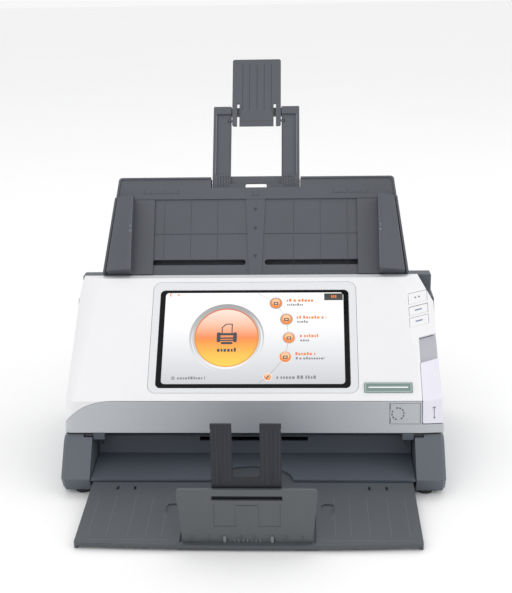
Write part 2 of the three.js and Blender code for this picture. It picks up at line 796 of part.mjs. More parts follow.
function paperTray() {
  const low = -9;
  let body = alongZ(trayOutline(low, trayRise, 0, 4), -trayPlate, trayRim)
    .subtract(alongZ(trayOutline(low - 1, trayRise - 1.6, 2, 3), 0, trayRim + 1))
      .subtract(coverClearance());
  body = body.subtract(alongZ(trayOutline(trayRise - trayBand, trayRise + 1, -3, 1), 2.2, trayRim + 1));
  body = body.add(alongZ(trayOutline(trayRise - trayBand, trayRise - 1, 1, 1), -1, 1.2));
  body = body.add(alongZ(centreStripe(), -1, 0.8));
  body = body.subtract(box(-200, 200, 40.7, 41.5, -0.5, 0.7));
  body = body.subtract(box(-frameHalf - 0.9, frameHalf + 0.9, trayRise - 9.8, trayRise + 1, -4, 9));
  for (const side of [-1, 1]) {
    body = body.subtract(alongZ(roundedBox(...span(side, 8.5, 106), slotLow, slotHigh, 2.4), -4, 2));
  }
  return mesh('paper_tray', body, darkGrey);
}

const layerDepth = frameThickness + 0.8;
const trayBackOuter = -trayPlate - gap - layerDepth - 2;

function trayBack() {
  const low = -8.7;
  const high = trayRise - 1.5;
  const outer = alongZ(trayOutline(low, high, 1.5, 3), trayBackOuter, -trayPlate - gap);
  const room = alongZ(trayOutline(low + 2, high - 2, 3.5, 2), trayBackOuter + 2, 1);
  const mouth = box(-frameHalf - 0.9, frameHalf + 0.9, high - 3, high + 2, trayBackOuter + 2, 1);
  const grip = box(-frameHalf - 0.9, frameHalf + 0.9, trayRise - 9.8, trayRise + 2, trayBackOuter - 1, 1);
  let body = outer.subtract(room).subtract(mouth).subtract(grip);
  for (const side of [-1, 1]) {
    body = body.add(rod(...span(side, trayHalf(bossAlong) - 3, trayHalfTop + 17), bossAlong, bossOut,
      bossRadius, 20));
  }
  return mesh('tray_back_cover', body, darkGrey);
}

// A spur outline about the origin; the tooth on the X axis is turned by phase.
function gearShape(teeth, root, tip, phase) {
  const points = [];
  for (let i = 0; i < teeth; i += 1) {
    const middle = 2 * Math.PI * i / teeth + phase;
    const wide = 0.28 * 2 * Math.PI / teeth;
    const thin = 0.13 * 2 * Math.PI / teeth;
    for (const [radius, angle] of [[root, -wide], [tip, -thin], [tip, thin], [root, wide]]) {
      points.push([radius * Math.cos(middle + angle), radius * Math.sin(middle + angle)]);
    }
  }
  return shapeOf(points);
}

const pinionTeeth = 12;
const toothPitch = 2 * Math.PI * pinionRadius / pinionTeeth;
const pinionAlong = (slotLow + slotHigh) / 2;
const rackFloor = -trayPlate - gap - 0.3 - rackThickness;

function pinion() {
  const gear = alongZ(gearShape(pinionTeeth, pinionRadius - 1.3, pinionRadius + 0.8, Math.PI / 2),
    rackFloor, rackFloor + rackThickness);
  const hub = solid(new THREE.CylinderGeometry(2, 2, 2.2, 20).rotateX(Math.PI / 2)
    .translate(0, 0, rackFloor - 1));
  const made = mesh('guide_pinion', gear.add(hub), white);
  made.position.y = pinionAlong;
  return made;
}

const rackHeight = 3;
const rackRoot = pinionRadius + 1.3;

// A toothed bar on one side of the pinion; a gap between two teeth stands over the pinion's middle.
function rack(side, x0, x1) {
  const root = pinionAlong + side * rackRoot;
  const tip = pinionAlong + side * (pinionRadius - 0.9);
  const back = root + side * rackHeight;
  let bar = box(x0, x1, Math.min(root, back), Math.max(root, back), rackFloor, rackFloor + rackThickness);
  for (let i = Math.ceil(x0 / toothPitch); i < Math.floor(x1 / toothPitch); i += 1) {
    const middle = (i + 0.5) * toothPitch;
    const tooth = shapeOf([[middle - 0.85, root + side * 0.2], [middle - 0.4, tip], [middle + 0.4, tip],
      [middle + 0.85, root + side * 0.2]]);
    bar = bar.add(alongZ(tooth, rackFloor, rackFloor + rackThickness));
  }
  return bar;
}

function mirrored(body) {
  const { vertProperties, triVerts } = body.getMesh();
  const geometry = new THREE.BufferGeometry();
  geometry.setAttribute('position',
    new THREE.BufferAttribute(vertProperties.map((v, i) => (i % 3 ? v : -v)), 3));
  const turned = [];
  for (let i = 0; i < triVerts.length; i += 3) {
    turned.push(triVerts[i], triVerts[i + 2], triVerts[i + 1]);
  }
  geometry.setIndex(turned);
  return solid(geometry);
}

// Seen from the front, the right guide's rack runs under the pinion and the left guide's over it.
function paperGuide(name, side) {
  const low = -2.5;
  const high = trayRise - trayBand - 0.6;
  const section = (along) => {
    const rim = trayHalf(along) - 3.2;
    const outline = [[paperHalf - guideFoot, gap], [rim, gap], [rim, guideHeight - 6],
      [rim - 1.5, guideHeight - 4.4],
      [paperHalf + 3.2, guideHeight], [paperHalf, guideHeight], [paperHalf, 2], [paperHalf - guideFoot,
        2]];
    return outline.map(([x, out]) => [x, along, out]);
  };
  const x0 = paperHalf - 12;
  const x1 = paperHalf - 5;
  const lane = pinionAlong - side * (rackRoot + rackHeight);
  const leg = box(x0, x1, slotLow + 0.5, slotHigh - 0.5, rackFloor, 1);
  const link = box(x0, x1, Math.min(lane, pinionAlong), Math.max(lane, pinionAlong), rackFloor,
    rackFloor + rackThickness);
  const body = solid(loft([section(high), section(low)], 2)).subtract(coverClearance()).add(leg).add(link)
    .add(rack(-side, -5, x1));
  return mesh(name, side > 0 ? body : mirrored(body), darkGrey);
}

// ---- tray extension ----
const frameFront = -trayPlate - 0.4;
const frameBack = frameFront - frameThickness;
const frameLow = trayRise - 12;
const windowLow = trayRise + 3.7;
const windowHigh = frameTop - 7.9;
const flapPocket = frameFront - 3.2;
const flapHinge = windowHigh - 5.8;
const flapOut = (frameFront + flapPocket) / 2 - 0.05;

function extensionFrame() {
  let body = alongZ(roundedBox(-frameHalf, frameHalf, frameLow, frameTop, 1), frameBack, frameFront);
  body = body.subtract(box(-windowHalf, windowHalf, windowLow, windowHigh, frameBack - 1,
    frameFront + 1));
  body = body.subtract(box(-windowHalf, windowHalf, trayRise - 5, frameTop + 1, flapPocket,
    frameFront + 1));
  body = body.subtract(box(-28, 28, frameLow - 1, trayRise - 9, frameBack - 1, frameFront + 1));
  body = body.subtract(alongZ(roundedBox(-9.7, 9.7, trayRise - 12, trayRise - 3, 1.5), frameBack - 1,
    frameFront + 1));
  for (const side of [-1, 1]) {
    const rail = span(side, windowHalf - 1, frameHalf - 3.4);
    body = body.subtract(box(...rail, windowLow, frameTop - 7.4, frameFront - 1.6, frameFront + 1));
    for (let i = 0; i < 5; i += 1) {
      const groove = span(side, windowHalf + 1.2 + i * 2.4, windowHalf + 2.2 + i * 2.4);
      body = body.subtract(box(...groove, trayRise - 8, windowLow - 1, frameFront - 0.7, frameFront + 1));
    }
    body = body.subtract(rod(...span(side, windowHalf - 1, windowHalf + 3), flapHinge, flapOut, 1.4, 16));
  }
  return mesh('extension_frame', body, darkGrey);
}

function extensionFlap() {
  const half = windowHalf - 0.7;
  const tip = flapHinge + flapLength;
  const front = flapOut + flapThickness / 2;
  const shape = roundedBox(-half, half, flapHinge - flapFingers, tip, 2);
  let body = alongZ(shape, front - flapThickness, front)
    .add(rod(-15.6, 15.6, flapHinge, flapOut, 1.7, 16));
  for (const side of [-1, 1]) {
    body = body.subtract(box(...span(side, 15.8, 18), flapHinge - 10, flapHinge + 17, front - 5,
      front + 1));
    body = body.add(rod(...span(side, half - 0.5, windowHalf + 2.4), flapHinge, flapOut, 1.1, 16));
  }
  return mesh('extension_flap', body, darkGrey);
}

// ---- output tray and stop ----
function outputTray() {
  const outline = new THREE.Shape();
  outline.moveTo(outTrayHalf - 1, 0);
  outline.lineTo(outTrayHalf, 1);
  outline.lineTo(outTrayHalf, outTrayLength);
  outline.lineTo(-outTrayHalf, outTrayLength);
  outline.lineTo(-outTrayHalf, 1);
  outline.lineTo(-outTrayHalf + 1, 0);
  outline.quadraticCurveTo(0, -7, outTrayHalf - 1, 0);
  let body = alongZ(outline, -outTrayThickness, 0);
  const panFloor = -outTrayFrontHeight + 0.9;
  body = body.add(box(-panHalf - 1.4, panHalf + 1.4, -1.6, panLength + 1.4, panFloor, -0.6));
  body = body.subtract(box(-panHalf, panHalf, 0.4, panLength, panFloor + 1.1, 2));
  for (const side of [-1, 1]) {
    const leg = box(...span(side, outTrayHalf - 2.4, outTrayHalf), 1, 6, -outTrayFrontHeight + 0.1, -1);
    const thumb = alongZ(roundedBox(...span(side, panHalf + 4, panHalf + 15), 38, 52, 4), -1.2, 1);
    body = body.add(leg).subtract(thumb);
    for (const x of [95, 109]) {
      body = body.subtract(box(...span(side, x - 1, x + 1), 72, 77, -5, 1));
    }
  }
  const pinPlace = new THREE.Vector3(0, stopHingeY, stopHingeZ)
    .applyMatrix4(outFrame.matrix.clone().invert());
  return mesh('output_tray',
    body.subtract(rod(-panHalf - 0.9, panHalf + 0.9, pinPlace.y, pinPlace.z, 1.2, 16)), darkGrey);
}

function stopPanel() {
  const shape = new THREE.Shape();
  const low = 1.5;
  shape.moveTo(-stopHalfBottom, low);
  shape.lineTo(stopHalfBottom, low);
  shape.lineTo(stopHalfTop, stopHeight - 3);
  shape.quadraticCurveTo(stopHalfTop, stopHeight, stopHalfTop - 3, stopHeight);
  shape.lineTo(-stopHalfTop + 3, stopHeight);
  shape.quadraticCurveTo(-stopHalfTop, stopHeight, -stopHalfTop, stopHeight - 3);
  const front = stopThickness / 2;
  let body = alongZ(shape, -front, front);
  const windowTop = 40.1;
  body = body.subtract(box(-forkHalf - 0.7, forkHalf + 0.7, windowTop - 3.6, windowTop, -5, 5));
  for (const side of [-1, 1]) {
    body = body.subtract(box(...span(side, 8.2, 25), 14.8, 34, front - 0.5, 5));
    body = body.add(box(...span(side, forkHalf + 0.4, forkHalf + 2.4), 29, 36, -5.1, 0));
    body = body.add(box(...span(side, forkHalf - 1.6, forkHalf + 2.4), 29, 36, -5.1, -4.2));
    body = body.add(rod(...span(side, 36, 44), 0, 0, 1.7, 16))
      .add(box(...span(side, 36, 44), 0, 3, -front, front));
    body = body.add(rod(...span(side, 40, panHalf + 0.7), 0, 0, 0.9, 16));
  }
  body = body.subtract(box(-7.9, 7.9, 32.2, 32.9, front - 0.5, 5));
  for (const x of [-41.5, -29, -19.3, -5, 5, 19.3, 29, 41.5]) {
    body = body.add(box(x - 0.4, x + 0.4, low, 7.5, 0, front + 0.6));
  }
  return mesh('stop_panel', body, stopGrey);
}

function stopFork() {
  const back = -stopThickness / 2 - 0.6 - forkThickness;
  const low = 30;
  const shape = new THREE.Shape();
  const gapLow = 54.4;
  shape.moveTo(-forkHalf, low);
  shape.lineTo(forkHalf, low);
  shape.lineTo(forkHalf, forkHeight - 6);
  shape.lineTo(forkHalf - 1, forkHeight - 5);
  shape.lineTo(forkHalf, forkHeight - 4);
  shape.lineTo(forkHalf, forkHeight);
  shape.lineTo(forkGap, forkHeight);
  shape.lineTo(forkGap, gapLow + 3.5);
  shape.quadraticCurveTo(forkGap, gapLow, forkGap - 3.5, gapLow);
  shape.lineTo(-forkGap + 3.5, gapLow);
  shape.quadraticCurveTo(-forkGap, gapLow, -forkGap, gapLow + 3.5);
  shape.lineTo(-forkGap, forkHeight);
  shape.lineTo(-forkHalf, forkHeight);
  shape.lineTo(-forkHalf, forkHeight - 4);
  shape.lineTo(-forkHalf + 1, forkHeight - 5);
  shape.lineTo(-forkHalf, forkHeight - 6);
  let body = alongZ(shape, back, back + forkThickness);
  for (const x of [-19.3, 19.3]) {
    body = body.add(box(x - 0.6, x + 0.6, low, 58, back, back + forkThickness + 0.3));
  }
  return mesh('stop_fork', body, deepGrey);
}

// ---- assembly ----
const scanner = new THREE.Group();
const shell = coverShell();
const footX = halfWidth - 16;

scanner.add(
  bottomPan(), sideHousing('left_side_housing', -1), sideHousing('right_side_housing', 1),
  hingePin('left_hinge_pin', -1), hingePin('right_hinge_pin', 1), outputDeck(), rearHousing(),
  trayBracket('left_tray_bracket', -1), trayBracket('right_tray_bracket',
    1), mainBoard(), powerJack(), portBlock(),
  foot('front_left_foot', -footX, 14), foot('front_right_foot', footX, 14),
  foot('rear_left_foot', -footX, bodyDepth - 14), foot('rear_right_foot', footX, bodyDepth - 14),
  frontCover(shell), lipTrim(shell), iconPanel(shell), sideStrip(shell), releaseLever(shell), coverGuide(),
  ...keys.map((entry) => key(shell, entry)),
);

faceFrame.add(displayBezel(), displayGlass(), displayPanel(), badgePlate());

trayFrame.add(
  feedPlate(), lowerSensor(), lowerGlass(), chassisPlate('left_chassis_plate',
    -1), chassisPlate('right_chassis_plate', 1),
  rollerShaft('pick_shaft', pickAt, 22), tyre('pick_tyre', pickAt, 18),
  rollerShaft('feed_shaft', feedAt, chassisAt + 3), tyre('feed_tyre', feedAt, 46),
  rollerShaft('exit_shaft', exitAt, chassisAt + 3), tyre('exit_tyre', exitAt, 46),
  driveMotor(), motorPulley(), driveBelt(),
  upperSensor(), upperGlass(), separationPad(), idler('feed_idler', feedAt), idler('exit_idler', exitAt),
  paperTray(), trayBack(), pinion(), paperGuide('left_guide', -1), paperGuide('right_guide', 1),
  extensionFrame(), extensionFlap(),
);

outFrame.add(outputTray());
stopFrame.add(stopPanel(), stopFork());
scanner.add(faceFrame, trayFrame, outFrame, stopFrame);

const bounds = new THREE.Box3().setFromObject(scanner, true);
scanner.position.set(0, -(bounds.min.y + bounds.max.y) / 2, -bounds.min.z);

export default scanner;
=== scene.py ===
import math
import bpy
import bmesh
from mathutils import Matrix, Vector
from mathutils.bvhtree import BVHTree


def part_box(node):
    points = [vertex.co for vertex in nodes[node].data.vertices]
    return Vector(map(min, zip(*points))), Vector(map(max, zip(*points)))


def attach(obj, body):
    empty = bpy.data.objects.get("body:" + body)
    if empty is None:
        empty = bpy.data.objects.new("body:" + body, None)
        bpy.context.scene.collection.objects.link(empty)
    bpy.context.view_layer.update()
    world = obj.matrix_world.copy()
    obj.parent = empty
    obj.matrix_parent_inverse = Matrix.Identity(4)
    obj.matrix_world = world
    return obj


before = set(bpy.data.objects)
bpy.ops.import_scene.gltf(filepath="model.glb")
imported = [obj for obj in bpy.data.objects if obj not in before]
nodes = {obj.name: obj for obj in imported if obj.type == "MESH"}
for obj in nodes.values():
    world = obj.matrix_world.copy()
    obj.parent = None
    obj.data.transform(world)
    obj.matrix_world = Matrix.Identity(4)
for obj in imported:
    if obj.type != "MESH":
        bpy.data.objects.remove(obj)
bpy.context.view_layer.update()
mm = 0.001


class Signal:
    # A socket that sums and products can be written with.
    def __init__(self, shader, socket):
        self.shader = shader
        self.socket = socket

    def calc(self, operation, *values):
        return self.shader.node("ShaderNodeMath", {"operation": operation}, dict(enumerate(values)))

    def __add__(self, other):
        return self.calc("ADD", self, other)

    def __radd__(self, other):
        return self.calc("ADD", other, self)

    def __sub__(self, other):
        return self.calc("SUBTRACT", self, other)

    def __rsub__(self, other):
        return self.calc("SUBTRACT", other, self)

    def __mul__(self, other):
        return self.calc("MULTIPLY", self, other)

    def __rmul__(self, other):
        return self.calc("MULTIPLY", other, self)

    def clamped(self):
        return self.calc("MINIMUM", self.calc("MAXIMUM", self, 0.0), 1.0)

    def stepped(self, low, high):
        settings = {"interpolation_type": "SMOOTHSTEP"}
        inputs = {"Value": self, "From Min": low, "From Max": high}
        return self.shader.node("ShaderNodeMapRange", settings, inputs, "Result")


class Shader:
    # One material, its nodes and its main shader.
    def __init__(self, name):
        self.material = bpy.data.materials.new(name)
        self.material.use_nodes = True
        self.tree = self.material.node_tree
        self.main = self.tree.nodes["Principled BSDF"]

    def node(self, kind, settings=None, inputs=None, output=0):
        made = self.tree.nodes.new(kind)
        for key, value in (settings or {}).items():
            if key == "stops":
                ramp = made.color_ramp
                while len(ramp.elements) < len(value):
                    ramp.elements.new(0.5)
                for element, (place, colour) in zip(ramp.elements, value):
                    element.position = place
                    element.color = (*colour, 1)
            else:
                setattr(made, key, value)
        for key, value in (inputs or {}).items():
            self.feed(made.inputs[key], value)
        return Signal(self, made.outputs[output])

    def feed(self, socket, value):
        if isinstance(value, Signal):
            self.tree.links.new(value.socket, socket)
        else:
            socket.default_value = value

    def set(self, **values):
        for key, value in values.items():
            self.feed(self.main.inputs[key.replace("_", " ")], value)

    def place(self):
        return self.node("ShaderNodeTexCoord", output="Object")

    def split(self, vector, axis):
        return self.node("ShaderNodeSeparateXYZ", None, {0: vector}, axis)

    def noise(self, vector, scale, detail=3.0, rough=0.55):
        inputs = {"Vector": vector, "Scale": scale, "Detail": detail, "Roughness": rough}
        return self.node("ShaderNodeTexNoise", None, inputs)

    def stretched(self, vector, scale):
        return self.node("ShaderNodeVectorMath", {"operation": "MULTIPLY"}, {0: vector, 1: scale})

    def mixed(self, factor, low, high):
        made = self.node("ShaderNodeMix", {"data_type": "RGBA"}, {"Factor": factor}, 2)
        inputs = made.socket.node.inputs
        self.feed(inputs[6], low)
        self.feed(inputs[7], high)
        return made

    def bumped(self, height, distance, strength):
        inputs = {"Height": height, "Distance": distance, "Strength": strength}
        return self.node("ShaderNodeBump", None, inputs)


def rgb(r, g, b):
    # Linear colour from display values out of 255.
    levels = (c / 255 for c in (r, g, b))
    return tuple(c / 12.92 if c <= 10 / 255 else ((c + 0.055) / 1.055) ** 2.4 for c in levels) + (1.0,)


def shade(colour, amount):
    return tuple(min(1.0, c * amount) for c in colour[:3]) + (1.0,)


def plastic(name, colour, rough=0.5, grain=0.00045, depth=0.00002, spread=0.06, coat=0.0, marks=0.5):
    # Moulded plastic: spark-eroded grain, slow shade changes, faint rubbed streaks and dust.
    s = Shader(name)
    place = s.place()
    cloud = s.noise(place, 14.0, 4.0)
    fine = s.noise(place, 1 / grain, 2.0)
    streak = s.noise(s.stretched(place, (9.0, 900.0, 260.0)), 1.0, 2.0).stepped(0.62, 0.78)
    dust = s.noise(place, 420.0, 3.0, 0.7).stepped(0.66, 0.8)
    base = s.mixed(cloud.stepped(0.3, 0.7), shade(colour, 1 - spread), shade(colour, 1 + spread))
    base = s.mixed(streak * (0.06 * marks), base, shade(colour, 1.5))
    base = s.mixed(dust * (0.05 * marks), base, rgb(190, 188, 182))
    wear = rough + (cloud - 0.5) * 0.12 + (fine - 0.5) * 0.1 - streak * (0.1 * marks)
    s.set(Base_Color=base, Roughness=wear.clamped(), Specular_IOR_Level=0.45)
    s.set(Coat_Weight=coat, Coat_Roughness=0.12)
    s.set(Normal=s.bumped(fine + cloud * 0.4, depth, 0.6))
    return s.material


def metal(name, colour, rough=0.3, lines=(1.0, 1.0, 1.0), depth=0.00001):
    s = Shader(name)
    place = s.place()
    brushed = s.noise(s.stretched(place, lines), 1.0, 3.0)
    stain = s.noise(place, 30.0, 4.0)
    s.set(Base_Color=s.mixed(stain, shade(colour, 0.86), colour), Metallic=0.95)
    s.set(Roughness=(rough + (brushed - 0.5) * 0.25 + (stain - 0.5) * 0.1).clamped())
    s.set(Normal=s.bumped(brushed, depth, 0.5))
    return s.material


def rubberLook(name, colour):
    s = Shader(name)
    place = s.place()
    fine = s.noise(place, 2500.0, 3.0)
    bloom = s.noise(place, 60.0, 4.0).stepped(0.45, 0.75)
    s.set(Base_Color=s.mixed(bloom * 0.35, colour, shade(colour, 1.9)))
    s.set(Roughness=(0.78 + (fine - 0.5) * 0.2).clamped())
    s.set(Normal=s.bumped(fine, 0.00003, 0.7))
    return s.material


def silverPaint():
    # Metallic lacquer with fine flake. Painted reflection: darker in the middle and lighter towards both
    # ends, standing in for the side lights.
    s = Shader("silver lacquer")
    place = s.place()
    flake = s.noise(place, 5200.0, 1.0)
    cloud = s.noise(place, 11.0, 3.0)
    across = s.split(place, 0)
    # Painted shade at the middle and painted sheen towards the ends, in place of the side lights'
    # reflection.
    paintedEndSheen = across.calc("ABSOLUTE", across).stepped(0.0, 0.16)
    base = s.mixed(paintedEndSheen, rgb(160, 164, 170), rgb(184, 187, 191))
    base = s.mixed(flake.stepped(0.55, 0.72) * 0.25, base, rgb(214, 216, 219))
    base = s.mixed((cloud - 0.4).clamped() * 0.25, base, rgb(128, 131, 137))
    s.set(Base_Color=base, Metallic=0.35, Roughness=(0.4 + (flake - 0.5) * 0.18).clamped())
    s.set(Coat_Weight=0.25, Coat_Roughness=0.15, Normal=s.bumped(flake, 0.00001, 0.35))
    return s.material


def glassBlack():
    s = Shader("black display glass")
    place = s.place()
    smear = s.noise(s.stretched(place, (30.0, 70.0, 70.0)), 1.0, 4.0)
    s.set(Base_Color=rgb(4, 4, 5), Specular_IOR_Level=0.12)
    s.set(Roughness=0.04 + smear.stepped(0.5, 0.8) * 0.1)
    s.set(Normal=s.bumped(smear, 0.000004, 0.2))
    return s.material


def sensorGlass():
    s = Shader("sensor glass")
    place = s.place()
    film = s.noise(place, 45.0, 4.0)
    s.set(Base_Color=s.mixed(film, rgb(70, 84, 86), rgb(96, 110, 110)))
    s.set(Roughness=(0.06 + film * 0.1).clamped())
    s.set(Transmission_Weight=0.35, IOR=1.5)
    return s.material


def boardLook():
    # Solder mask with copper lines under it.
    s = Shader("circuit board")
    place = s.place()
    lines = s.node("ShaderNodeTexBrick", {"offset": 0.35}, {
        "Vector": s.stretched(place, (1.0, 0.0, 1.0)), "Scale": 95.0, "Mortar Size": 0.05,
        "Color1": rgb(20, 84, 52), "Color2": rgb(26, 96, 58), "Mortar": rgb(58, 132, 84)})
    grime = s.noise(place, 90.0, 3.0)
    s.set(Base_Color=s.mixed(grime * 0.3, lines, rgb(16, 60, 40)))
    s.set(Roughness=(0.35 + grime * 0.2).clamped())
    s.set(Normal=s.bumped(grime, 0.00003, 0.5))
    return s.material


print("shader helpers ready")

# The finishes, and which CAD nodes wear them.
looks = {
    "white": plastic("white shell plastic", rgb(231, 231, 233), 0.36, 0.0006, 0.000012, 0.012, 0.22, 0.25),
    "coolWhite": plastic("cool white plastic", rgb(224, 223, 234), 0.34, 0.0006, 0.00001, 0.012, 0.25, 0.2),
    "paleGrey": plastic("pale grey surround", rgb(222, 223, 226), 0.45, 0.0005, 0.00001, 0.015, 0.0, 0.2),
    "tray": plastic("slate tray plastic", rgb(80, 83, 90), 0.5, 0.00045, 0.00003, 0.05),
    "housing": plastic("slate housing plastic", rgb(88, 94, 102), 0.5, 0.0005, 0.00003, 0.05),
    "inner": plastic("dark inner plastic", rgb(76, 83, 92), 0.55, 0.0005, 0.00002, 0.06),
    "stacker": plastic("stacker plastic", rgb(76, 80, 85), 0.46, 0.0005, 0.00002, 0.05),
    "stop": plastic("stop plastic", rgb(84, 87, 91), 0.42, 0.0005, 0.00002, 0.04),
    "fork": plastic("fork plastic", rgb(24, 28, 36), 0.42, 0.0005, 0.00002, 0.05),
    "black": plastic("black engine plastic", rgb(26, 27, 29), 0.5),
    "silver": silverPaint(),
    # The lever is coloured darker than the white shell: painted shade of its finger recess.
    "lever": plastic("release lever with painted recess shade", rgb(176, 177, 184), 0.38, 0.0006, 0.00001, 0.03, 0.1, 0.3),
    # Hinge pins get a darker steel colour than the bare steel.
    "hinge": metal("dark hinge steel", rgb(58, 60, 64), 0.42, (60.0, 2400.0, 2400.0)),
    "glass": glassBlack(),
    "sensor": sensorGlass(),
    "steel": metal("brushed steel", rgb(186, 188, 190), 0.3, (60.0, 2400.0, 2400.0)),
    "aluminium": metal("panel back plate", rgb(200, 202, 204), 0.35, (2200.0, 90.0, 90.0)),
    "brass": metal("turned brass", rgb(196, 158, 88), 0.28, (2600.0, 120.0, 120.0)),
    "board": boardLook(),
    "badge": plastic("blank badge lacquer", rgb(110, 134, 128), 0.32, 0.0004, 0.000006, 0.03, 0.3),
    "rubber": rubberLook("black rubber", rgb(34, 35, 37)),
    "greyRubber": rubberLook("grey roller rubber", rgb(104, 107, 110)),
}

wearers = {
    "white": "front_cover scan_key mode_key send_key guide_pinion",
    "coolWhite": "side_strip",
    "lever": "cover_release_lever",
    "hinge": "left_hinge_pin right_hinge_pin",
    "paleGrey": "display_bezel",
    "tray": "paper_tray tray_back_cover left_guide right_guide extension_frame extension_flap",
    "housing": "left_side_housing right_side_housing rear_housing left_tray_bracket right_tray_bracket",
    "inner": "bottom_pan output_deck feed_plate cover_guide_plate",
    "stacker": "output_tray",
    "stop": "stop_panel",
    "fork": "stop_fork",
    "black": "lower_image_sensor upper_image_sensor power_jack",
    "silver": "lip_trim icon_panel",
    "glass": "display_glass",
    "sensor": "lower_sensor_glass upper_sensor_glass",
    "steel": "left_chassis_plate right_chassis_plate pick_shaft feed_shaft exit_shaft drive_motor "
             "port_block",
    "aluminium": "display_panel",
    "brass": "motor_pulley",
    "board": "main_board",
    "badge": "badge_plate",
    "rubber": "front_left_foot front_right_foot rear_left_foot rear_right_foot "
              "drive_belt separation_pad feed_idler exit_idler",
    "greyRubber": "pick_tyre feed_tyre exit_tyre",
}

edges = {"small": 0.00025, "usual": 0.0006, "soft": 0.0012, "angle": 32}
softEdged = ("front_cover left_side_housing right_side_housing rear_housing bottom_pan lip_trim "
             "side_strip").split()
crispEdged = ("display_glass badge_plate main_board drive_belt lower_sensor_glass upper_sensor_glass "
              "port_block power_jack").split()

for look, names in wearers.items():
    for name in names.split():
        node = nodes[name]
        node.data.materials.clear()
        node.data.materials.append(looks[look])
        for polygon in node.data.polygons:
            polygon.use_smooth = True
        size = "soft" if name in softEdged else "small" if name in crispEdged else "usual"
        width = edges[size]
        weld = node.modifiers.new("weld", "WELD")
        weld.merge_threshold = 0.00001
        bevel = node.modifiers.new("edge", "BEVEL")
        bevel.width = width
        bevel.segments = 2
        bevel.limit_method = "ANGLE"
        bevel.angle_limit = math.radians(edges["angle"])
        bevel.use_clamp_overlap = True
        bevel.harden_normals = True
        normals = node.modifiers.new("normals", "WEIGHTED_NORMAL")
        normals.keep_sharp = True
print("materials on", sum(len(names.split()) for names in wearers.values()), "CAD nodes")

# Sizes below count from the housing's foremost line.
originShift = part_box("left_side_housing")[0].y


def slope(y, z, angle):
    # Across, along and out of a sloping face, from its foot, in millimetres.
    lean = Matrix.Rotation(math.radians(angle), 4, "X")
    return Matrix.Translation((0, originShift + y * mm, z * mm)) @ lean @ Matrix.Scale(mm, 4)


faceSlope = {"foot": (29.1, 73.1), "angle": 44.75, "picture": 15.7}
pathSlope = {"foot": (29.1 + 81.9 / math.tan(math.radians(44.75)) + 9.1, 152.2), "angle": 57.5}
outSlope = {"foot": (-82.0, 6.0), "angle": 5.2}
stopSlope = {"foot": (-79.5, 4.2), "angle": 90.0}
lipSlope = {"foot": (24.2, 47.0), "angle": math.degrees(math.atan2(26.1, 4.9))}
slopes = (faceSlope, pathSlope, outSlope, stopSlope, lipSlope)
onKeys, onPath, onOut, onStop, onLip = (slope(*each["foot"], each["angle"]) for each in slopes)
onFace = onKeys @ Matrix.Translation((0, faceSlope["picture"], 0))


